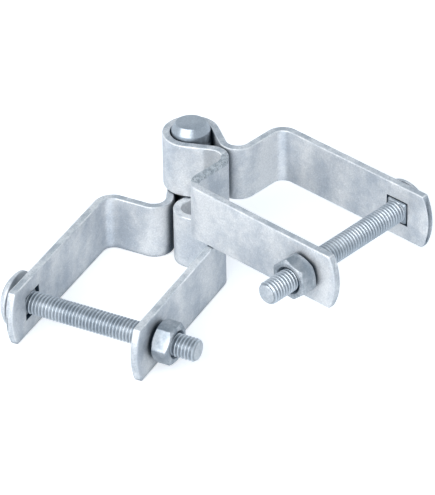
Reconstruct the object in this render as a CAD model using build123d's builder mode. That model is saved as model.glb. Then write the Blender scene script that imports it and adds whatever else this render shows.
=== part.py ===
from build123d import *
from math import acos, atan2, cos, degrees, hypot, radians, sin
import os

# Two-band gate hinge. Two bent steel bands turn on one upright pin, and each is
# closed round a square post or gate frame by a coach bolt and a hexagon nut.
# Millimetres, +Z up. The origin is on the pin's axis, at the pin's lower end, and
# +X runs along the arms of the lower band.

# Flat bar of both bands
band_width = 30.0
band_thickness = 4.0
edge_round = 0.5

# Clamp of each band, measured from the pin's axis
clamp_width = 64.0
bolt_reach = 107.5
tip_past_bolt = 15.9
tip_crown = 3.8

# Neck between knuckle and shoulders: its length, the slit between its two sides,
# and the bends, each radius on the hollow side of the bar
lower_neck_reach = 18.0
upper_neck_reach = 17.5
lower_throat_gap = 2.1
upper_throat_gap = 1.3
shoulder_radius = 5.8
throat_radius = 5.9

# Pin: a journal that the upper band turns on, over a spigot pressed in the lower band.
# Its end is turned thinner from inside the knuckle up, and steeply chamfered
journal_diameter = 20.6
spigot_diameter = 16.0
end_diameter = 19.6
end_depth = 5.0
pin_stand = 5.8
pin_top_chamfer = 2.1
pin_top_chamfer_height = 4.1
pin_foot_chamfer = 1.0
running_clearance = 0.1
band_gap = 0.3
rest_angle = 74.0

# Coach bolts, not yet drawn up: each head stands off its arm
lower_head_gap = 3.9
upper_head_gap = 1.8
thread_diameter = 11.7
end_chamfer = 1.2
head_diameter = 27.8
head_height = 7.3
head_rim = 1.5
neck_side = 12.0
neck_length = 6.8
neck_corner = 1.4
neck_end_chamfer = 1.0

# Holes in the arms
neck_clearance = 0.7
bolt_clearance = 0.65

# Hexagon nuts, run on by hand, and the length of bolt past each of them
nut_gap = 1.7
nut_across_flats = 19.0
nut_height = 9.5
nut_chamfer = 2.0
nut_chamfer_height = 1.2
nut_countersink = 1.4
thread_clearance = 0.05
lower_nut_turn = -6.0
upper_nut_turn = 42.0
lower_bolt_stub = 11.5
upper_bolt_stub = 15.4

# Sizes that follow from those above
arm_face = clamp_width / 2 + band_thickness
journal_radius = journal_diameter / 2
spigot_radius = spigot_diameter / 2
end_radius = end_diameter / 2
thread_radius = thread_diameter / 2
tip_reach = bolt_reach + tip_past_bolt
upper_floor = band_width + band_gap
upper_top = upper_floor + band_width
pin_length = upper_top + pin_stand
square_hole = neck_side + 2 * neck_clearance
round_hole_radius = thread_radius + bolt_clearance
nut_corner_radius = nut_across_flats / 2 / cos(radians(30))
nut_face = arm_face + nut_gap + nut_height

# Each band's own frame: x along its arms, y across the clamp, z up
lower_frame = Plane.XY
upper_frame = Plane(
    origin=(0, 0, upper_floor),
    x_dir=(cos(radians(rest_angle)), sin(radians(rest_angle)), 0),
)


def upright(frame):
    """Plane through the pin's axis along a band's arms: x along the arms, y up."""
    return Plane(origin=frame.origin, x_dir=frame.x_dir, z_dir=-frame.y_dir)


def bolt_seat(frame, side, gap=0.0):
    """Plane at the bolt, a gap off the outer face of one arm, facing out of the clamp."""
    across = side * (arm_face + gap)
    centre = frame.from_local_coords(Vector(bolt_reach, across, band_width / 2))
    return Plane(origin=centre, x_dir=frame.x_dir, z_dir=frame.y_dir * side)


def make_band(frame, bore_radius, neck_reach, throat_gap, head_side):
    """Band bent round the pin. head_side is 1 or -1, the arm with the square hole."""
    half_bar = band_thickness / 2
    knuckle = bore_radius + half_bar
    throat = throat_radius + half_bar
    shoulder = shoulder_radius + half_bar

    # centre line of the bar: where the throat's arc lies, and where the straight
    # piece between knuckle and throat touches both arcs
    leg_x = knuckle + neck_reach
    arm_y = clamp_width / 2 + half_bar
    throat_x = leg_x - throat
    throat_y = throat + half_bar + throat_gap / 2
    centres = hypot(throat_x, throat_y)
    touch = atan2(throat_y, throat_x) + acos((knuckle + throat) / centres)
    touch_degrees = degrees(touch)

    with BuildPart() as band:
        with BuildSketch(frame):
            with BuildLine():
                CenterArc((0, 0), knuckle, 180, touch_degrees - 180)
                Line(
                    (knuckle * cos(touch), knuckle * sin(touch)),
                    (throat_x - throat * cos(touch), throat_y - throat * sin(touch)),
                )
                CenterArc((throat_x, throat_y), throat, touch_degrees + 180, 180 - touch_degrees)
                Line((leg_x, throat_y), (leg_x, arm_y - shoulder))
                CenterArc((leg_x + shoulder, arm_y - shoulder), shoulder, 180, -90)
                Line((leg_x + shoulder, arm_y), (tip_reach + tip_crown, arm_y))
                mirror(about=Plane.XZ)
            trace(line_width=band_thickness)
        extrude(amount=band_width)

        # the tips are sheared to a shallow arc
        with BuildSketch(upright(frame)):
            with BuildLine():
                back = -knuckle - band_thickness
                Polyline((tip_reach, 0), (back, 0), (back, band_width), (tip_reach, band_width))
                ThreePointArc(
                    (tip_reach, band_width),
                    (tip_reach + tip_crown, band_width / 2),
                    (tip_reach, 0),
                )
            make_face()
        extrude(amount=arm_face + band_thickness, both=True, mode=Mode.INTERSECT)

        # the edges of the bar and of its sheared tips are slightly rounded
        rims = band.faces().filter_by(Axis.Z).edges()
        tips = band.edges().filter_by(GeomType.CIRCLE).filter_by(Axis.Z, reverse=True)
        tips = tips.filter_by(lambda edge: frame.to_local_coords(edge.center()).X > bolt_reach)
        fillet(rims + tips, edge_round)

        # square hole for the bolt's neck, round hole for its thread
        with BuildSketch(bolt_seat(frame, head_side)):
            Rectangle(square_hole, square_hole)
        extrude(amount=-band_thickness, mode=Mode.SUBTRACT)
        with BuildSketch(bolt_seat(frame, -head_side)):
            Circle(round_hole_radius)
        extrude(amount=-band_thickness, mode=Mode.SUBTRACT)
    return band.part


def make_pin():
    """Stepped round pin, standing on the ground, with a thinner, chamfered end."""
    with BuildPart() as pin:
        with BuildSketch(Plane.XZ):
            with BuildLine():
                Polyline(
                    (0, 0),
                    (spigot_radius - pin_foot_chamfer, 0),
                    (spigot_radius, pin_foot_chamfer),
                    (spigot_radius, band_width),
                    (journal_radius, band_width),
                    (journal_radius, upper_top - end_depth),
                    (end_radius, upper_top - end_depth + journal_radius - end_radius),
                    (end_radius, pin_length - pin_top_chamfer_height),
                    (end_radius - pin_top_chamfer, pin_length),
                    (0, pin_length),
                    close=True,
                )
            make_face()
        revolve(axis=Axis.Z)
    return pin.part


def make_bolt(frame, head_side, head_gap, stub):
    """Coach bolt through both arms, its head a gap off the outer face of one."""
    seat = bolt_seat(frame, head_side, head_gap)
    inward = Plane(origin=seat.origin, x_dir=seat.x_dir, z_dir=-seat.z_dir)
    profile = Plane(origin=seat.origin, x_dir=seat.x_dir, z_dir=-inward.y_dir)
    bolt_length = head_gap + arm_face + nut_face + stub
    head_radius = head_diameter / 2
    crown = head_height - head_rim
    dome_radius = (head_radius ** 2 + crown ** 2) / (2 * crown)

    with BuildPart() as bolt:
        # square neck, its end tapered towards the thread
        with BuildSketch(inward):
            RectangleRounded(neck_side, neck_side, neck_corner)
        extrude(amount=neck_length)
        neck_end = bolt.faces().sort_by(Axis(inward.origin, inward.z_dir))[-1]
        chamfer(neck_end.edges(), neck_end_chamfer)

        # mushroom head and shank
        with BuildSketch(profile):
            with BuildLine():
                Polyline(
                    (0, -head_height),
                    (0, bolt_length),
                    (thread_radius - end_chamfer, bolt_length),
                    (thread_radius, bolt_length - end_chamfer),
                    (thread_radius, 0),
                    (head_radius, 0),
                    (head_radius, -head_rim),
                )
                CenterArc(
                    (0, dome_radius - head_height),
                    dome_radius,
                    -90,
                    degrees(atan2(head_radius, dome_radius - crown)),
                )
            make_face()
        revolve(axis=Axis(inward.origin, inward.z_dir))
    return bolt.part


def make_nut(frame, side, turn):
    """Hexagon nut on the bolt, a gap off the outer face of an arm."""
    seat = bolt_seat(frame, side, nut_gap)
    profile = Plane(origin=seat.origin, x_dir=seat.x_dir, z_dir=-seat.y_dir)
    bore_radius = thread_radius + thread_clearance
    mouth = bore_radius + nut_countersink

    with BuildPart() as nut:
        with BuildSketch(seat):
            RegularPolygon(nut_corner_radius, 6, rotation=turn)
        extrude(amount=nut_height)

        # both faces are chamfered towards the corners, and the bore is countersunk
        with BuildSketch(profile):
            with BuildLine():
                Polyline(
                    (bore_radius, nut_countersink),
                    (mouth, 0),
                    (nut_corner_radius - nut_chamfer, 0),
                    (nut_corner_radius, nut_chamfer_height),
                    (nut_corner_radius, nut_height - nut_chamfer_height),
                    (nut_corner_radius - nut_chamfer, nut_height),
                    (mouth, nut_height),
                    (bore_radius, nut_height - nut_countersink),
                    close=True,
                )
            make_face()
        revolve(axis=Axis(seat.origin, seat.z_dir), mode=Mode.INTERSECT)
    return nut.part


lower_bore = spigot_radius
upper_bore = journal_radius + running_clearance

pieces = {
    "lower_band": make_band(lower_frame, lower_bore, lower_neck_reach, lower_throat_gap, -1),
    "upper_band": make_band(upper_frame, upper_bore, upper_neck_reach, upper_throat_gap, 1),
    "hinge_pin": make_pin(),
    "lower_coach_bolt": make_bolt(lower_frame, -1, lower_head_gap, lower_bolt_stub),
    "upper_coach_bolt": make_bolt(upper_frame, 1, upper_head_gap, upper_bolt_stub),
    "lower_hex_nut": make_nut(lower_frame, 1, lower_nut_turn),
    "upper_hex_nut": make_nut(upper_frame, -1, upper_nut_turn),
}

os.makedirs("parts", exist_ok=True)
for name, piece in pieces.items():
    piece.label = name
    export_step(piece, f"parts/{name}.step")
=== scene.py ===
import math

import bmesh
import bpy
from mathutils import Matrix, Vector, noise


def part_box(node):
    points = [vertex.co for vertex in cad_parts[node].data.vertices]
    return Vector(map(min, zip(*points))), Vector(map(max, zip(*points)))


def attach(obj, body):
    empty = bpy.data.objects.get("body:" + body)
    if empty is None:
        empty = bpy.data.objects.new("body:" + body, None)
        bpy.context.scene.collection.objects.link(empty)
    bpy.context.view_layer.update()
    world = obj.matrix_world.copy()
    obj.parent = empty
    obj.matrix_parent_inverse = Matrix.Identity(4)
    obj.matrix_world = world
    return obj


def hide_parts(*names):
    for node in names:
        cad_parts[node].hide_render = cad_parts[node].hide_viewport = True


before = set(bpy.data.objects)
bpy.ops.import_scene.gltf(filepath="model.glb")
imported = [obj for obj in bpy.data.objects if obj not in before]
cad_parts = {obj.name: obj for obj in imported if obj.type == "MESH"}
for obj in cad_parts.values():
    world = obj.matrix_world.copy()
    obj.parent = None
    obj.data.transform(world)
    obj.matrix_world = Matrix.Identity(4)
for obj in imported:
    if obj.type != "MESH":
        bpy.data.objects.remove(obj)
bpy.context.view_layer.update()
mm = 0.001
weldDistance = 0.002 * mm      # points of a mesh that are closer than this are joined

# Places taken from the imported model
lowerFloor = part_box("lower_band")[0].z
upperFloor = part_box("upper_band")[0].z
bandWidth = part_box("lower_band")[1].z - lowerFloor
upperTop = upperFloor + bandWidth
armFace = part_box("lower_band")[1].y
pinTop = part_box("hinge_pin")[1].z
print(f"frame loaded, bar {bandWidth / mm:.1f} mm wide")

# Hot-dip zinc on the flat of the bar. The other finishes start from it
zinc = {
    "dull": (0.54, 0.58, 0.63),
    "bright": (0.85, 0.855, 0.86),
    "crevice": (0.04, 0.08, 0.125),   # painted shade in gaps and corners, its colour
    "creviceWidth": 7.0 * mm,
    "paintedShadeEdge": (0.15, 0.60),      # the painted shade is full below the first, gone above the second
    "metallic": 0.50,
    "patchEdge": (0.40, 0.60),  # the noise is dull zinc below the first, bright above the second
    "fleck": 0.12,              # how much the grain lightens and darkens
    "fleckLight": 0.6,          # it lightens less than it darkens
    "fleckEdge": (0.3, 0.7),
    "speck": -0.12,             # how dark the pinholes are, or below 0 how bright, as painted glints
    "pinhole": (0.15, 0.40),    # where a pinhole's or glint's slope starts and ends, in cells
    "toned": None,              # painted light and shade: a layer of the mesh, and the tone where it is -1 and 1
    "drain": 0.45,              # the patches are drawn out where the zinc ran down
    "driftFrom": (0.02, 0.04, 0.2),   # moves the large patches along
    "cloudShare": 0.5,          # weight of the small patches against the large ones
    "crystalShare": 0.35,       # weight of the crystals in the gloss
    "driftScale": 50.0,         # patches two thirds as large as the bar is wide
    "cloudScale": 210.0,        # patches of a few millimetres
    "grainScale": 1200.0,
    "flakeScale": 420.0,        # zinc crystals
    "speckScale": 900.0,
    "roughLow": 0.32,
    "roughHigh": 0.48,
    "relief": 0.16,
    "reliefDepth": 0.25 * mm,
    "texture": 0.15,
    "textureDepth": 0.05 * mm,
}


def newMaterial(name):
    material = bpy.data.materials.new(name)
    material.use_nodes = True
    nodes = material.node_tree.nodes
    nodes.clear()
    output = nodes.new("ShaderNodeOutputMaterial")
    shader = nodes.new("ShaderNodeBsdfPrincipled")
    material.node_tree.links.new(shader.outputs["BSDF"], output.inputs["Surface"])
    return material, shader


# Settings go to the node's inputs of that name, or else to its own options
def addNode(material, kind, **settings):
    node = material.node_tree.nodes.new("ShaderNode" + kind)
    for key, value in settings.items():
        if key in node.inputs:
            node.inputs[key].default_value = value
        else:
            setattr(node, key, value)
    return node


def remap(material, source, low, high, fromLow=0.0, fromHigh=1.0):
    node = addNode(material, "MapRange")
    node.inputs["From Min"].default_value = fromLow
    node.inputs["From Max"].default_value = fromHigh
    node.inputs["To Min"].default_value = low
    node.inputs["To Max"].default_value = high
    material.node_tree.links.new(source, node.inputs["Value"])
    return node.outputs["Result"]


# One finish of the zinc, from what differs in it against the flat of the bar
def galvanised(name, **changes):
    look = {**zinc, **changes}
    material, shader = newMaterial(name)
    link = material.node_tree.links.new
    place = addNode(material, "TexCoord")
    drift = addNode(material, "TexNoise", Scale=look["driftScale"], Detail=2.0, Roughness=0.5)
    cloud = addNode(material, "TexNoise", Scale=look["cloudScale"], Detail=5.0, Roughness=0.68)
    grain = addNode(material, "TexNoise", Scale=look["grainScale"], Detail=3.0, Roughness=0.65)
    flake = addNode(material, "TexVoronoi", Scale=look["flakeScale"], Randomness=1.0)
    pits = addNode(material, "TexVoronoi", Scale=look["speckScale"], Randomness=1.0)
    for texture in (cloud, grain, flake, pits):
        link(place.outputs["Object"], texture.inputs["Vector"])
    drained = addNode(material, "VectorMath", operation="MULTIPLY_ADD")
    drained.inputs[1].default_value = (1.0, 1.0, look["drain"])
    drained.inputs[2].default_value = look["driftFrom"]
    link(place.outputs["Object"], drained.inputs[0])
    link(drained.outputs["Vector"], drift.inputs["Vector"])

    # colour: dull patches to bright ones, flecked by the grain, darker in pinholes or lighter in
    # painted glints
    blotch = addNode(material, "Math", operation="MULTIPLY_ADD")
    blotch.inputs[1].default_value = look["cloudShare"]
    link(cloud.outputs["Fac"], blotch.inputs[0])
    link(drift.outputs["Fac"], blotch.inputs[2])
    patches = addNode(material, "ValToRGB")
    dullStop, brightStop = patches.color_ramp.elements
    dullStop.position, brightStop.position = look["patchEdge"]
    dullStop.color = (*look["dull"], 1.0)
    brightStop.color = (*look["bright"], 1.0)
    whole = 1 + look["cloudShare"]
    link(remap(material, blotch.outputs["Value"], 0.0, 1.0, 0.0, whole), patches.inputs["Fac"])
    darkest = 1 - look["fleck"]
    lightest = 1 + look["fleck"] * look["fleckLight"]
    flecks = remap(material, grain.outputs["Fac"], darkest, lightest, *look["fleckEdge"])
    pinholesAndGlints = remap(material, pits.outputs["Distance"], 1 - look["speck"], 1.0, *look["pinhole"])
    spots = addNode(material, "Math", operation="MULTIPLY")
    link(flecks, spots.inputs[0])
    link(pinholesAndGlints, spots.inputs[1])
    tone = addNode(material, "VectorMath", operation="SCALE")
    link(patches.outputs["Color"], tone.inputs[0])
    link(spots.outputs["Value"], tone.inputs["Scale"])
    if look["toned"]:                 # with painted light and shade from a layer of the mesh, from -1 to 1
        layer, low, high = look["toned"]
        painted = addNode(material, "Attribute", attribute_name=layer)
        toned = addNode(material, "Math", operation="MULTIPLY")
        link(spots.outputs["Value"], toned.inputs[0])
        link(remap(material, painted.outputs["Fac"], low, high, -1.0, 1.0), toned.inputs[1])
        link(toned.outputs["Value"], tone.inputs["Scale"])

    # painted shade: narrow gaps and inner corners are darkened by ambient occlusion
    gaps = addNode(material, "AmbientOcclusion", samples=8, Distance=look["creviceWidth"])
    paintedShadeMix = addNode(material, "Mix", data_type="RGBA")
    shadeInput, zincInput = paintedShadeMix.inputs[6], paintedShadeMix.inputs[7]      # the node's two colours
    shadeInput.default_value = (*look["crevice"], 1.0)
    openness = remap(material, gaps.outputs["AO"], 0.0, 1.0, *look["paintedShadeEdge"])
    link(openness, paintedShadeMix.inputs["Factor"])
    link(tone.outputs["Vector"], zincInput)
    link(paintedShadeMix.outputs[2], shader.inputs["Base Color"])

    # gloss changes from crystal to crystal and with the patches
    crystals = addNode(material, "SeparateColor")
    link(flake.outputs["Color"], crystals.inputs["Color"])
    blend = addNode(material, "Math", operation="MULTIPLY_ADD")
    blend.inputs[1].default_value = look["crystalShare"]
    link(crystals.outputs["Red"], blend.inputs[0])
    link(cloud.outputs["Fac"], blend.inputs[2])
    gloss = remap(material, blend.outputs["Value"], look["roughLow"], look["roughHigh"])
    link(gloss, shader.inputs["Roughness"])

    relief = addNode(material, "Bump", Strength=look["relief"], Distance=look["reliefDepth"])
    link(cloud.outputs["Fac"], relief.inputs["Height"])
    texture = addNode(material, "Bump", Strength=look["texture"], Distance=look["textureDepth"])
    link(grain.outputs["Fac"], texture.inputs["Height"])
    link(relief.outputs["Normal"], texture.inputs["Normal"])
    link(texture.outputs["Normal"], shader.inputs["Normal"])
    shader.inputs["Metallic"].default_value = look["metallic"]
    return material


# its "bend" layer gives a painted highlight down the shoulders' hollows and painted shade in the
# throat's
zincFace = galvanised("zinc on the flat of the bar", toned=("bend", 0.76, 1.24))
zincRim = galvanised(
    "zinc on the rolled rims",
    dull=(0.50, 0.545, 0.59), bright=(0.79, 0.81, 0.83), fleck=0.14, speck=0.16,
    creviceWidth=3.0 * mm, driftScale=120.0, cloudScale=420.0, roughLow=0.42, roughHigh=0.60,
    relief=0.5, texture=0.35, textureDepth=0.08 * mm,
)
# Painted highlight: the rounded corners of the bar are lighter, where they catch the light
zincCornerHighlight = galvanised(
    "painted highlight on the zinc corners of the bar",
    dull=(0.64, 0.675, 0.71), bright=(0.95, 0.955, 0.96), fleck=0.14,
    driftScale=110.0, cloudScale=420.0, roughLow=0.30, roughHigh=0.45, relief=0.2,
)
zincDross = galvanised(
    "dross on a rim",
    dull=(0.38, 0.43, 0.47), bright=(0.70, 0.74, 0.77), fleck=0.20, speck=0.45,
    driftScale=500.0, cloudScale=1300.0, cloudShare=1.0, roughLow=0.40, roughHigh=0.60,
    relief=0.9, texture=0.6, textureDepth=0.10 * mm,
)
zincPin = galvanised(
    "zinc on the pin",
    dull=(0.42, 0.47, 0.52), bright=(0.52, 0.57, 0.62), metallic=0.85,
    driftScale=120.0, cloudScale=260.0, roughLow=0.26, roughHigh=0.38, relief=0.2,
)
# Painted shade: the thread's roots are darker than its crests, from the "crest" layer
zincThread = galvanised(
    "zinc on the threads",
    dull=(0.54, 0.60, 0.66), bright=(0.72, 0.77, 0.82), metallic=0.80, speck=0.0,
    toned=("crest", 0.56, 1.0), driftScale=90.0, cloudScale=300.0, roughLow=0.28, roughHigh=0.38,
    relief=0.05, texture=0.05,
)
zincNut = galvanised(
    "zinc on nuts and heads",
    dull=(0.31, 0.355, 0.40), bright=(0.54, 0.57, 0.60), metallic=0.85, fleck=0.14,
    driftScale=150.0, cloudScale=420.0, roughLow=0.34, roughHigh=0.48, relief=0.3,
)
zincNutFace = galvanised(
    "zinc on the faces of the nuts",
    dull=(0.34, 0.385, 0.43), bright=(0.60, 0.63, 0.66), metallic=0.75, fleck=0.18,
    driftScale=180.0, cloudScale=600.0, roughLow=0.36, roughHigh=0.50, relief=0.3,
)
# Painted shade: a dark finish in the bore, the bolt holes and under the nuts, where shade falls
zincPaintedShade = galvanised(
    "painted shade in holes and seats",
    dull=(0.13, 0.155, 0.18), bright=(0.22, 0.25, 0.28), metallic=0.50, fleck=0.15,
    driftScale=120.0, cloudScale=420.0, roughLow=0.50, roughHigh=0.70,
)
print("zinc finishes made")


# Makes the object from a bmesh, smooth up to sharpAngle
def finishPiece(mesh, name, materials, sharpAngle=35.0):
    bmesh.ops.remove_doubles(mesh, verts=mesh.verts, dist=weldDistance)
    bmesh.ops.recalc_face_normals(mesh, faces=mesh.faces)
    data = bpy.data.meshes.new(name)
    mesh.to_mesh(data)
    mesh.free()
    piece = bpy.data.objects.new(name, data)
    bpy.context.collection.objects.link(piece)
    for material in materials:
        data.materials.append(material)
    data.shade_smooth()
    data.set_sharp_from_angle(angle=math.radians(sharpAngle))
    return piece


def joinRings(mesh, rings, material=0, closed=True):
    for lower, upper in zip(rings, rings[1:]):
        count = len(lower)
        for i in range(count if closed else count - 1):
            k = (i + 1) % count
            mesh.faces.new([lower[i], lower[k], upper[k], upper[i]]).material_index = material


# Smooth wandering value from 0 to 1, with bumps of the given size
def wander(point, seed, size):
    value = noise.noise(point / size + Vector((seed, seed * 0.7, -seed)))
    return min(max(0.5 + 0.5 * value, 0.0), 1.0)


# Flat bar and clamp, the same for both bands
bar = {
    "thickness": 4.0 * mm,
    "edgeRound": 0.5 * mm,
    "boltReach": 107.5 * mm,
    "tipReach": 123.4 * mm,
    "tipCrown": 3.8 * mm,
    "shoulderRadius": 5.8 * mm,
    "throatRadius": 5.9 * mm,
    "squareHole": 13.4 * mm,
    "roundHole": 13.0 * mm,
    "holeEdge": 0.3 * mm,
    "holeSegments": 64,
    "step": 1.2 * mm,          # spacing of the mesh along straight runs
    "rimCells": 7,             # cells of the mesh over a rim
    "faceCells": 16,           # and down the flat of the bar
    "bulgeLength": 14.0 * mm,  # the tip's arc fades out over this length
    "wave": 0.05 * mm,         # how far the dipped faces wander
    "waveSize": 6.0 * mm,
    "rimWave": 0.12 * mm,      # the rims wander more
    "rimWaveSize": 2.2 * mm,
    "drossWave": 0.55 * mm,    # lumps where the zinc ran down a rim
    "drossSize": 0.9 * mm,
    "drossDepth": 2.2 * mm,    # how far down the leg their finish reaches
    "cornerSteep": 0.15,       # a face is a corner, with painted highlight, where it looks this much up or down
    "rimSteep": 0.98,          # and a rim from here on
    "boreDepth": 0.3 * mm,     # the painted shade of the bore starts this far outside it
    "shoulderHighlight": (0.225, 0.675),  # a shoulder's painted highlight: full up to the first, gone at the second
    "throatShade": 1.5,        # reach of the painted shade in the throat's hollow, in throat radii
}
lowerBand = {
    "name": "lower_band_dipped",
    "node": "lower_band",
    "body": "lower",
    "turn": 0.0,
    "floor": lowerFloor,
    "bore": 8.0 * mm,
    "neckReach": 18.0 * mm,
    "throatGap": 2.1 * mm,
    "headSide": -1,
    "drossSide": 0,
    "seed": 3.0,
}
upperBand = {
    "name": "upper_band_dipped",
    "node": "upper_band",
    "body": "upper",
    "turn": 74.0,
    "floor": upperFloor,
    "bore": 10.4 * mm,
    "neckReach": 17.5 * mm,
    "throatGap": 1.3 * mm,
    "headSide": 1,
    "drossSide": -1,           # the leg whose top rim is rough
    "seed": 41.0,
}
bandZinc = [zincFace, zincRim, zincDross, zincPaintedShade, zincCornerHighlight]


# Points and outward normals on an arc; the angles are in degrees
def arcPoints(centre, radius, start, end, step=4.0):
    count = max(2, math.ceil(abs(end - start) / step))
    for i in range(count + 1):
        angle = math.radians(start + (end - start) * i / count)
        outward = Vector((math.cos(angle), math.sin(angle)))
        yield centre + outward * radius, outward


def linePoints(start, end, normal):
    count = max(2, math.ceil((end - start).length / bar["step"]))
    for i in range(count + 1):
        yield start.lerp(end, i / count), normal


def legX(band):
    return band["bore"] + bar["thickness"] / 2 + band["neckReach"]


def throatCentre(band):
    throat = bar["throatRadius"] + bar["thickness"] / 2
    return Vector((legX(band) - throat, throat + bar["thickness"] / 2 + band["throatGap"] / 2))


# Whether a place is on the leg, between throat and shoulder, whose top rim is rough
def onRoughLeg(place, band):
    inLeg = abs(place.x - legX(band)) < bar["thickness"]
    betweenArms = abs(place.y) < armFace - bar["thickness"]
    return inLeg and betweenArms and place.y * band["drossSide"] > 0


# Painted light on the outside and the inside of the bar: 1 is a painted highlight down the hollow
# of each shoulder, and -1 painted shade in the hollow of the throat
def bendPaintedLight(point, normal, band):
    if abs(point.y) > armFace / 2:
        full, gone = bar["shoulderHighlight"]
        offDiagonal = abs(abs(normal.x) - abs(normal.y))
        return 0.0, min(max((gone - offDiagonal) / (gone - full), 0.0), 1.0)
    fromCentre = (Vector((point.x, abs(point.y))) - throatCentre(band)).length
    inThroat = fromCentre < bar["throatRadius"] * bar["throatShade"]
    return (-1.0 if inThroat else 0.0), 0.0


# Centre line from the back of the knuckle to the +y tip, as points with a normal that
# always leaves the bar on the same side, away from the inside of the clamp
def halfCentreLine(band):
    half = bar["thickness"] / 2
    knuckle = band["bore"] + half
    throat = bar["throatRadius"] + half
    shoulder = bar["shoulderRadius"] + half
    leg = legX(band)
    armY = armFace - half
    centre = throatCentre(band)
    shoulderCentre = Vector((leg + shoulder, armY - shoulder))
    touch = math.atan2(centre.y, centre.x) + math.acos((knuckle + throat) / centre.length)
    touchAngle = math.degrees(touch)

    line = list(arcPoints(Vector((0, 0)), knuckle, 180, touchAngle))
    start, outward = line[-1]
    inward = [(p, -n) for p, n in arcPoints(centre, throat, touchAngle + 180, 360)]
    line += list(linePoints(start, inward[0][0], outward))[1:-1]
    line += inward
    legTop = Vector((leg, armY - shoulder))
    line += list(linePoints(inward[-1][0], legTop, Vector((-1, 0))))[1:-1]
    line += list(arcPoints(shoulderCentre, shoulder, 180, 90))
    armStart = Vector((leg + shoulder, armY))
    armEnd = Vector((bar["tipReach"] - bar["edgeRound"], armY))
    line += list(linePoints(armStart, armEnd, Vector((0, 1))))[1:]
    return line


# Closed outline of the bar's section, as (across the thickness, up the width)
def barSection(inset):
    halfThick = bar["thickness"] / 2 - inset
    halfWide = bandWidth / 2 - inset
    radius = max(bar["edgeRound"] - inset, 0.0)
    corners = []
    for sideX, sideZ, start in ((1, 1, 0), (-1, 1, 90), (-1, -1, 180), (1, -1, 270)):
        centre = Vector((sideX * (halfThick - radius), sideZ * (halfWide - radius)))
        corners.append([point for point, _ in arcPoints(centre, radius, start, start + 90, 30)])
    outline = []
    for index, arc in enumerate(corners):
        outline += arc
        following = corners[(index + 1) % 4][0]
        cells = bar["rimCells"] if index % 2 == 0 else bar["faceCells"]
        outline += [arc[-1].lerp(following, i / cells) for i in range(1, cells)]
    return outline


# How far the sheared tip stands out at a height from the bar's middle
def tipBulge(height):
    half = bandWidth / 2
    radius = (half ** 2 + bar["tipCrown"] ** 2) / (2 * bar["tipCrown"])
    return bar["tipCrown"] - radius + math.sqrt(max(radius ** 2 - height ** 2, 0.0))


# The dip leaves the faces slightly uneven, the rims more so, and one leg's rim lumpy.
# All of it goes into the bar, so the band stays inside its true size
def dipped(place, normal, across, height, band):
    seed = band["seed"]
    sunk = bar["wave"] * (0.3 + 0.7 * wander(place, seed, bar["waveSize"]))
    side = -1 if across > 0 else 1
    moved = place + Vector((normal.x, normal.y, 0)) * side * sunk
    onRim = abs(height) > bandWidth / 2 - bar["edgeRound"] * 1.1
    if onRim:
        drop = bar["rimWave"] * wander(place, seed + 9, bar["rimWaveSize"])
        if onRoughLeg(place, band) and height > 0:
            drop += bar["drossWave"] * wander(place, seed + 4, bar["drossSize"]) ** 2
        moved.z -= math.copysign(drop, height)
    return moved


def makeBand(band):
    half = halfCentreLine(band)
    mirrored = [(Vector((p.x, -p.y)), Vector((n.x, -n.y))) for p, n in half[:0:-1]]
    stations = [(p, n, 0.0) for p, n in mirrored + half]

    # the tips' edges are rounded: the last outlines shrink and step forward
    tips = stations[0], stations[-1]
    for degrees in (30, 60, 90):
        angle = math.radians(degrees)
        inset = bar["edgeRound"] * (1 - math.cos(angle))
        forward = Vector((bar["edgeRound"] * math.sin(angle), 0))
        stations.insert(0, (tips[0][0] + forward, tips[0][1], inset))
        stations.append((tips[1][0] + forward, tips[1][1], inset))

    mesh = bmesh.new()
    bendLightLayer = mesh.verts.layers.float.new("bend")
    rings = []
    middle = band["floor"] + bandWidth / 2
    bulgeStart = bar["tipReach"] - bar["bulgeLength"]
    for point, normal, inset in stations:
        ring = []
        share = min(max((point.x - bulgeStart) / bar["bulgeLength"], 0.0), 1.0)
        # painted highlight and shade of the bends
        outsidePaintedLight, insidePaintedLight = bendPaintedLight(point, normal, band)
        for across, height in barSection(inset):
            centre = point + normal * across
            x = centre.x + share ** 2 * tipBulge(height)
            place = Vector((x, centre.y, height + middle))
            vertex = mesh.verts.new(dipped(place, normal, across, height, band))
            vertex[bendLightLayer] = insidePaintedLight if across < 0 else outsidePaintedLight
            ring.append(vertex)
        rings.append(ring)
    joinRings(mesh, rings)

    # each face gets its finish, from where it is and how steeply it looks up or down; the corners'
    # finish is a painted highlight
    mesh.normal_update()
    cornerHeight = bandWidth / 2 - bar["edgeRound"] * 1.5
    drossHeight = bandWidth / 2 - bar["drossDepth"]
    for face in mesh.faces:
        centre = face.calc_center_median()
        height = centre.z - middle
        steep = abs(face.normal.z)
        finish = zincFace
        if onRoughLeg(centre, band) and height > drossHeight:
            finish = zincDross
        elif abs(height) > cornerHeight and bar["cornerSteep"] < steep < bar["rimSteep"]:
            finish = zincCornerHighlight
        elif steep >= bar["rimSteep"]:
            finish = zincRim
        # the bore gets painted shade
        elif Vector((centre.x, centre.y)).length < band["bore"] + bar["boreDepth"]:
            finish = zincPaintedShade
        face.material_index = bandZinc.index(finish)
    caps = [mesh.faces.new(rings[0]), mesh.faces.new(rings[-1])]
    for cap in caps:
        cap.material_index = bandZinc.index(zincRim)
    bmesh.ops.triangulate(mesh, faces=caps)
    piece = finishPiece(mesh, band["name"], bandZinc)
    cutHoles(piece, band)
    piece.data.transform(Matrix.Rotation(math.radians(band["turn"]), 4, "Z"))
    return piece


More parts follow.
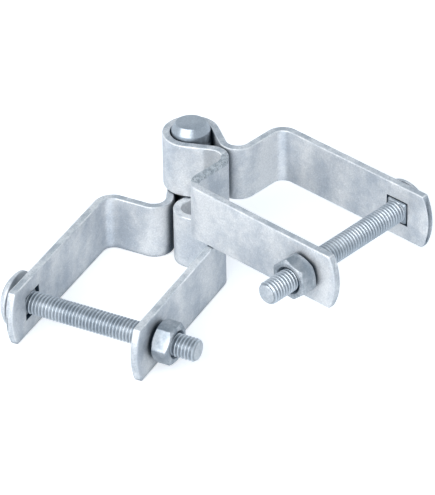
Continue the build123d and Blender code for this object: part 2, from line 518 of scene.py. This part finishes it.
# Square hole in the arm at the head, round hole in the arm at the nut
def cutHoles(piece, band):
    mesh = bmesh.new()
    across = armFace - bar["thickness"] / 2
    depth = bar["thickness"] * 1.5
    centre = Vector((bar["boltReach"], 0, band["floor"] + bandWidth / 2))
    square = Matrix.Translation(centre + Vector((0, band["headSide"] * across, 0)))
    square @= Matrix.Diagonal((bar["squareHole"], depth, bar["squareHole"], 1))
    bmesh.ops.create_cube(mesh, size=1.0, matrix=square)
    tube = Matrix.Translation(centre - Vector((0, band["headSide"] * across, 0)))
    tube @= Matrix.Rotation(math.radians(90), 4, "X")
    bmesh.ops.create_cone(
        mesh, cap_ends=True, segments=bar["holeSegments"], radius1=bar["roundHole"] / 2,
        radius2=bar["roundHole"] / 2, depth=depth, matrix=tube,
    )
    # the holes' walls get painted shade
    for face in mesh.faces:
        face.material_index = bandZinc.index(zincPaintedShade)
    punch = finishPiece(mesh, "hole punch", bandZinc)
    cut = piece.modifiers.new("holes", "BOOLEAN")
    cut.operation = "DIFFERENCE"
    cut.solver = "EXACT"
    cut.object = punch
    rounded = piece.modifiers.new("hole edges", "BEVEL")
    rounded.width = bar["holeEdge"]
    rounded.segments = 2
    rounded.limit_method = "ANGLE"
    rounded.angle_limit = math.radians(60)
    bpy.context.view_layer.update()
    shown = piece.evaluated_get(bpy.context.evaluated_depsgraph_get())
    data = bpy.data.meshes.new_from_object(shown)
    piece.modifiers.clear()
    piece.data = data
    bpy.data.objects.remove(punch)
    data.shade_smooth()
    data.set_sharp_from_angle(angle=math.radians(40))


for band in (lowerBand, upperBand):
    piece = makeBand(band)
    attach(piece, band["body"])
    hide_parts(band["node"])
    print(f"{band['name']}: {len(piece.data.polygons)} faces")


pin = {
    "journalRadius": 10.3 * mm,
    "spigotRadius": 8.0 * mm,
    "endRadius": 9.8 * mm,
    "endDepth": 5.0 * mm,         # the thinner end starts this far inside the knuckle
    "topChamfer": 2.1 * mm,
    "topChamferHeight": 4.1 * mm,
    "footChamfer": 1.0 * mm,
    "edgeRound": 0.25 * mm,
    "grindWave": 0.25 * mm,       # the end was ground by hand
    "grindSize": 0.6,             # length of its bumps, in radii
    "seed": 5.0,
    "lowSide": 207.4,             # and its top slopes down to this side, in degrees
    "topSlope": 1.1 * mm,
    "segments": 120,
}
hub = 0.05 * mm                   # a turned form ends in a disc of this radius


# Profile of (r, z) points, with all but its two ends rounded
def roundedProfile(points, radius, steps=3):
    result = [points[0]]
    for before, corner, after in zip(points, points[1:], points[2:]):
        a = Vector(before) - Vector(corner)
        b = Vector(after) - Vector(corner)
        reach = min(radius, a.length / 2.2, b.length / 2.2)
        first = Vector(corner) + a.normalized() * reach
        last = Vector(corner) + b.normalized() * reach
        for i in range(steps + 1):
            t = i / steps
            bend = first.lerp(Vector(corner), t).lerp(Vector(corner).lerp(last, t), t)
            result.append((bend.x, bend.y))
    result.append(points[-1])
    return result


# Rings of a turned form; place(r, z, angle) gives each point
def latheRings(mesh, profile, segments, place):
    rings = []
    for r, z in profile:
        ring = []
        for i in range(segments):
            ring.append(mesh.verts.new(place(r, z, 2 * math.pi * i / segments)))
        rings.append(ring)
    return rings


def makePin():
    step = pin["journalRadius"] - pin["endRadius"]
    topRadius = pin["endRadius"] - pin["topChamfer"]
    profile = roundedProfile([
        (hub, 0),
        (pin["spigotRadius"] - pin["footChamfer"], 0),
        (pin["spigotRadius"], pin["footChamfer"]),
        (pin["spigotRadius"], bandWidth),
        (pin["journalRadius"], bandWidth),
        (pin["journalRadius"], upperTop - pin["endDepth"]),
        (pin["endRadius"], upperTop - pin["endDepth"] + step),
        (pin["endRadius"], pinTop - pin["topChamferHeight"]),
        (topRadius, pinTop),
        (hub, pinTop),
    ], pin["edgeRound"])

    # only what stands out of the knuckle is uneven: out is 0 there and 1 at the pin's top
    def place(r, z, angle):
        out = max((z - upperTop) / (pinTop - upperTop), 0.0)
        spot = Vector((math.cos(angle), math.sin(angle), 0))
        if r > pin["endRadius"] * 0.6:
            r -= pin["grindWave"] * wander(spot, pin["seed"], pin["grindSize"]) * min(out * 2, 1.0)
        low = math.cos(angle - math.radians(pin["lowSide"])) * r / topRadius
        z -= pin["topSlope"] * max(0.5 + 0.5 * low, 0.0) * out
        return Vector((r * math.cos(angle), r * math.sin(angle), z))

    mesh = bmesh.new()
    rings = latheRings(mesh, profile, pin["segments"], place)
    joinRings(mesh, rings)
    mesh.faces.new(rings[0])
    mesh.faces.new(rings[-1])
    return finishPiece(mesh, "hinge_pin_zinc", [zincPin], sharpAngle=50)


pinPiece = makePin()
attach(pinPiece, "lower")
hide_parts("hinge_pin")
print("pin made")


# Coach bolts and nuts, made along z and then set at the bolt's place in each band
bolt = {
    "radius": 5.85 * mm,
    "pitch": 1.85 * mm,
    "threadDepth": 1.0 * mm,
    "rowsPerTurn": 12,
    "endChamfer": 1.2 * mm,
    "headRadius": 13.9 * mm,
    "headHeight": 7.3 * mm,
    "headRim": 1.5 * mm,
    "headEdge": 0.5 * mm,
    "neckSide": 12.0 * mm,
    "neckCorner": 1.4 * mm,
    "neckLength": 6.8 * mm,
    "neckEndChamfer": 1.0 * mm,
    "neckEdge": 0.3 * mm,          # softens the start of that chamfer
    "neckSink": 0.2 * mm,          # the neck starts inside the head
    "domeRings": 16,
    "domeWave": 0.006,             # the forged dome wanders by this share of its size
    "domeWaveSize": 5.0 * mm,
    "domeSeed": 2.0,
    "endDish": 0.15 * mm,          # the sheared end is dished by up to this
    "endWave": 0.12 * mm,          # and uneven
    "endWaveSize": 0.7,            # in radii of the end
    "endSeed": 7.0,
    "headSegments": 72,
    "segments": 64,
}
nut = {
    "gap": 1.7 * mm,
    "acrossFlats": 19.0 * mm,
    "height": 9.5 * mm,
    "cornerRound": 0.35 * mm,
    "faceRadius": 8.97 * mm,
    "chamferSlope": 0.6,
    "bore": 5.9 * mm,
    "countersink": 1.4 * mm,
    "edge": 0.15 * mm,
    "faceDrop": 0.02 * mm,         # the face's rim lies this far below it
    "leastDrop": 0.03 * mm,        # and the chamfer at least this far
    "shownDepth": 0.8 * mm,        # depth of the finish of the face that shows
    "segments": 180,
}
boltZinc = [zincThread, zincNut, zincRim]       # thread, neck, head and end
nutZinc = [zincNut, zincPaintedShade, zincNutFace]
lowerBolt = {
    "name": "lower_coach_bolt_threaded",
    "nutName": "lower_hex_nut_zinc",
    "node": "lower_coach_bolt",
    "nutNode": "lower_hex_nut",
    "body": "lower",
    "band": lowerBand,
    "headGap": 3.9 * mm,
    "stub": 11.5 * mm,
    "nutTurn": -6.0,
}
upperBolt = {
    "name": "upper_coach_bolt_threaded",
    "nutName": "upper_hex_nut_zinc",
    "node": "upper_coach_bolt",
    "nutNode": "upper_hex_nut",
    "body": "upper",
    "band": upperBand,
    "headGap": 1.8 * mm,
    "stub": 15.4 * mm,
    "nutTurn": 42.0,
}


# From a bolt's own frame, with +z out of the clamp, to the frame of the whole hinge
def boltFrame(band, side, gap):
    turn = Matrix.Rotation(math.radians(band["turn"]), 4, "Z")
    seat = Vector((bar["boltReach"], side * (armFace + gap), band["floor"] + bandWidth / 2))
    out = Vector((0, side, 0))
    along = Vector((1, 0, 0))
    axes = Matrix((along, out.cross(along), out)).transposed().to_4x4()
    return turn @ Matrix.Translation(seat) @ axes


# Helical thread from start down to end along -z, with a chamfered end
def addThread(mesh, start, end):
    rows = bolt["rowsPerTurn"]
    segments = bolt["segments"]
    length = start - end
    turns = math.ceil(length / bolt["pitch"]) + 2
    # the crest layer sets painted shade in the roots: -1 at the root, 1 at the crest
    crestLayer = mesh.verts.layers.float.new("crest")
    rings = []
    for j in range(-rows, turns * rows):
        crest = 0.5 - 0.5 * math.cos(2 * math.pi * j / rows)
        thread = bolt["radius"] - bolt["threadDepth"] * (1 - crest)
        ring = []
        for i in range(segments + 1):
            run = bolt["pitch"] * (j / rows + i / segments)
            run = min(max(run, 0.0), length)
            r = min(thread, bolt["radius"] - bolt["endChamfer"] + (length - run))
            angle = 2 * math.pi * i / segments
            point = mesh.verts.new((r * math.cos(angle), r * math.sin(angle), start - run))
            point[crestLayer] = 2 * crest - 1
            ring.append(point)
        rings.append(ring)
    joinRings(mesh, rings, closed=False)


# Sheared end of the bolt, dished a little
def addEndFace(mesh, z):
    rim = bolt["radius"] - bolt["endChamfer"]
    dish = bolt["endDish"]
    finish = boltZinc.index(zincRim)
    profile = [
        (rim, 0.0),
        (rim * 0.86, 0.0),
        (rim * 0.6, dish * 2 / 3),
        (rim * 0.3, dish * 14 / 15),
        (rim * 0.02, dish),
    ]

    def place(r, rise, angle):
        spot = Vector((math.cos(angle), math.sin(angle), r / rim))
        if r < rim:
            rise += bolt["endWave"] * wander(spot, bolt["endSeed"], bolt["endWaveSize"])
        return Vector((r * math.cos(angle), r * math.sin(angle), z + rise))

    rings = latheRings(mesh, profile, bolt["segments"], place)
    joinRings(mesh, rings, finish)
    mesh.faces.new(rings[-1]).material_index = finish


def squareRing(mesh, half, corner, z):
    ring = []
    for sideX, sideY, start in ((1, 1, 0), (-1, 1, 90), (-1, -1, 180), (1, -1, 270)):
        centre = Vector((sideX * (half - corner), sideY * (half - corner)))
        for point, _ in arcPoints(centre, corner, start, start + 90, 18):
            ring.append(mesh.verts.new((point.x, point.y, z)))
    return ring


# Forged mushroom head above z=0 and the square neck below it
def addHead(mesh):
    rim = bolt["headRim"]
    edge = bolt["headEdge"]
    crown = bolt["headHeight"] - rim
    dome = (bolt["headRadius"] ** 2 + crown ** 2) / (2 * crown)
    widest = math.asin(bolt["headRadius"] / dome)
    profile = [(bolt["neckSide"] / 2, 0), (bolt["headRadius"] - edge, 0)]
    for point, _ in arcPoints(Vector((bolt["headRadius"] - edge, edge)), edge, -90, 0, 22.5):
        profile.append((point.x, point.y))
    for i in range(bolt["domeRings"] + 1):
        angle = widest * (1 - i / bolt["domeRings"])
        r = max(dome * math.sin(angle), hub)
        profile.append((r, bolt["headHeight"] - dome * (1 - math.cos(angle))))

    def place(r, z, angle):
        spot = Vector((r * math.cos(angle), r * math.sin(angle), z))
        if z > rim:
            spot *= 1 - bolt["domeWave"] * wander(spot, bolt["domeSeed"], bolt["domeWaveSize"])
        return spot

    finish = boltZinc.index(zincRim)
    rings = latheRings(mesh, profile, bolt["headSegments"], place)
    joinRings(mesh, rings, finish)
    mesh.faces.new(rings[-1]).material_index = finish

    # the neck is chamfered at its end, and the last outline closes it round the thread
    half = bolt["neckSide"] / 2
    bevel = bolt["neckEndChamfer"]
    edge = bolt["neckEdge"]
    end = -bolt["neckLength"]
    neck = []
    for shrink, z in (
        (0.0, bolt["neckSink"]),
        (0.0, end + bevel + edge),
        (edge * 0.4, end + bevel - edge / 3),
        (bevel * 0.9, end),
        (half * 0.4, end),
    ):
        neck.append(squareRing(mesh, half - shrink, bolt["neckCorner"], z))
    joinRings(mesh, neck, boltZinc.index(zincNut))


def makeBolt(spec):
    length = spec["headGap"] + 2 * armFace + nut["gap"] + nut["height"] + spec["stub"]
    mesh = bmesh.new()
    addThread(mesh, bolt["neckEndChamfer"] - bolt["neckLength"], -length)
    addHead(mesh)
    addEndFace(mesh, -length)
    mesh.transform(boltFrame(spec["band"], spec["band"]["headSide"], spec["headGap"]))
    return finishPiece(mesh, spec["name"], boltZinc, sharpAngle=50)


# Radius of a hexagon with rounded corners, at an angle from a corner
def hexRadius(angle):
    sector = math.radians(60)
    fold = (angle + sector / 2) % sector - sector / 2
    flat = nut["acrossFlats"] / 2
    straight = flat / math.cos(sector / 2 - abs(fold))
    soft = flat / math.cos(sector / 2) - nut["cornerRound"] * 0.5
    return min(straight, soft)


# The hexagon is cut by a cone at both faces, which leaves an arc on each flat. Half of
# its profile, as (radius, depth below the face), from the bore to halfway up the outside
def halfNutProfile(outer):
    face = nut["faceRadius"]
    edge = nut["edge"]
    slope = nut["chamferSlope"]
    return [
        (nut["bore"], nut["countersink"]),
        (nut["bore"] + nut["countersink"], 0.0),
        (face - edge, 0.0),
        (face, nut["faceDrop"]),
        (outer - edge, max((outer - edge - face) * slope, nut["leastDrop"])),
        (outer, (outer - face) * slope + edge),
    ]


def makeNut(spec):
    mesh = bmesh.new()
    height = nut["height"]
    sides = []
    for i in range(nut["segments"]):
        angle = 2 * math.pi * i / nut["segments"]
        half = halfNutProfile(hexRadius(angle - math.radians(spec["nutTurn"])))
        profile = half + [(r, height - depth) for r, depth in reversed(half)]
        spots = [(r * math.cos(angle), r * math.sin(angle), z) for r, z in profile]
        sides.append([mesh.verts.new(spot) for spot in spots])
    rings = list(zip(*sides))
    joinRings(mesh, rings + rings[:1])
    for face in mesh.faces:
        level = face.calc_center_median().z
        finish = zincNut
        if level < nut["edge"]:                     # the face that looks at the arm, in painted shade
            finish = zincPaintedShade
        elif level > height - nut["shownDepth"]:    # the face that shows, with its chamfer
            finish = zincNutFace
        face.material_index = nutZinc.index(finish)
    mesh.transform(boltFrame(spec["band"], -spec["band"]["headSide"], nut["gap"]))
    return finishPiece(mesh, spec["nutName"], nutZinc, sharpAngle=24)


for spec in (lowerBolt, upperBolt):
    boltPiece = makeBolt(spec)
    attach(boltPiece, spec["body"])
    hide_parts(spec["node"])
    nutPiece = makeNut(spec)
    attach(nutPiece, spec["body"])
    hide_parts(spec["nutNode"])
    boltFaces, nutFaces = len(boltPiece.data.polygons), len(nutPiece.data.polygons)
    print(f"{spec['name']}: {boltFaces} faces, its nut {nutFaces}")


studio = {
    "floorSize": 12.0,
    "floorColour": (0.86, 0.89, 0.92),
    "cameraGlow": 0.46,              # makes the floor white to the camera
    "metalGlow": 0.06,               # less of it in the metal, which shows the hinge's own shadow
    "horizon": (0.88, 0.93, 0.98),
    "ceiling": (0.56, 0.62, 0.68),
    "climb": (0.05, 0.6),            # from the one at the first to the other at the second
    "worldStrength": 0.95,
    "cameraWorld": 1.05,             # and its strength to the camera, which keeps it white
}
softbox = {
    "name": "left softbox",
    "aim": (30 * mm, 30 * mm, 30 * mm),
    "from": (-0.75, -1.0, 0.80),     # direction in the view's frame
    "distance": 1.6,
    "size": (2.0, 1.2),
    "watts": 22.0,
}


def makeFloor():
    mesh = bmesh.new()
    bmesh.ops.create_grid(mesh, x_segments=1, y_segments=1, size=studio["floorSize"] / 2)
    material, shader = newMaterial("white studio floor")
    link = material.node_tree.links.new
    shader.inputs["Base Color"].default_value = (*studio["floorColour"], 1.0)
    shader.inputs["Roughness"].default_value = 0.9
    shader.inputs["Emission Color"].default_value = (1.0, 1.0, 1.0, 1.0)
    path = addNode(material, "LightPath")
    metal = addNode(material, "Math", operation="MULTIPLY")
    metal.inputs[1].default_value = studio["metalGlow"]
    link(path.outputs["Is Glossy Ray"], metal.inputs[0])
    seen = addNode(material, "Math", operation="MULTIPLY_ADD")
    seen.inputs[1].default_value = studio["cameraGlow"]
    link(path.outputs["Is Camera Ray"], seen.inputs[0])
    link(metal.outputs["Value"], seen.inputs[2])
    link(seen.outputs["Value"], shader.inputs["Emission Strength"])
    finishPiece(mesh, "studio_floor", [material])


# White surround at the horizon, under a greyer ceiling
def makeWorld():
    world = bpy.data.worlds.new("studio surround")
    bpy.context.scene.world = world
    world.use_nodes = True
    tree = world.node_tree
    tree.nodes.clear()
    link = tree.links.new
    output = tree.nodes.new("ShaderNodeOutputWorld")
    background = tree.nodes.new("ShaderNodeBackground")
    link(background.outputs["Background"], output.inputs["Surface"])
    place = tree.nodes.new("ShaderNodeTexCoord")
    axes = tree.nodes.new("ShaderNodeSeparateXYZ")
    link(place.outputs["Generated"], axes.inputs["Vector"])
    climb = tree.nodes.new("ShaderNodeValToRGB")
    horizonStop, ceilingStop = climb.color_ramp.elements
    horizonStop.position, ceilingStop.position = studio["climb"]
    horizonStop.color = (*studio["horizon"], 1.0)
    ceilingStop.color = (*studio["ceiling"], 1.0)
    link(axes.outputs["Z"], climb.inputs["Fac"])
    link(climb.outputs["Color"], background.inputs["Color"])
    path = tree.nodes.new("ShaderNodeLightPath")
    level = tree.nodes.new("ShaderNodeMapRange")
    level.inputs["To Min"].default_value = studio["worldStrength"]
    level.inputs["To Max"].default_value = studio["cameraWorld"]
    link(path.outputs["Is Camera Ray"], level.inputs["Value"])
    link(level.outputs["Result"], background.inputs["Strength"])


# Camera: found from the bands' edges in the photograph. Its frame has x to the right,
# y into the scene and z up, and the lower band's arms lie at armAngle in it
view = {
    "armAngle": -2.04889,
    "place": (12.33 * mm, -1609.47 * mm, 1114.16 * mm),
    "pitch": 0.60992,
    "roll": -0.014754,
    "focalPixels": 3874.36,       # focal length in pixels of the photograph
    "photoHeight": 495,
    "sensor": 36,                 # sensor in mm, along that height
}


# From the view's frame to the frame of the whole hinge
def fromView(vector):
    return Matrix.Rotation(-view["armAngle"], 3, "Z") @ Vector(vector)


def addSoftbox():
    light = bpy.data.lights.new(softbox["name"], "AREA")
    light.shape = "RECTANGLE"
    light.size, light.size_y = softbox["size"]
    light.energy = softbox["watts"]
    lamp = bpy.data.objects.new(softbox["name"], light)
    bpy.context.collection.objects.link(lamp)
    away = fromView(softbox["from"]).normalized()
    lamp.location = Vector(softbox["aim"]) + away * softbox["distance"]
    lamp.rotation_euler = away.to_track_quat("Z", "Y").to_euler()


def makeCamera():
    forward = Vector((0, math.cos(view["pitch"]), -math.sin(view["pitch"])))
    right = Vector((1, 0, 0))
    up = right.cross(forward)
    turnedRight = right * math.cos(view["roll"]) + up * math.sin(view["roll"])
    turnedUp = up * math.cos(view["roll"]) - right * math.sin(view["roll"])
    data = bpy.data.cameras.new("camera")
    data.sensor_width = view["sensor"]
    data.sensor_fit = "AUTO"
    data.lens = view["focalPixels"] / view["photoHeight"] * view["sensor"]
    camera = bpy.data.objects.new("camera", data)
    bpy.context.collection.objects.link(camera)
    axes = Matrix((fromView(turnedRight), fromView(turnedUp), fromView(-forward)))
    camera.matrix_world = Matrix.Translation(fromView(view["place"])) @ axes.transposed().to_4x4()
    bpy.context.scene.camera = camera


makeFloor()
makeWorld()
addSoftbox()
makeCamera()
bpy.context.scene.view_settings.view_transform = "Standard"
print("studio and camera set")
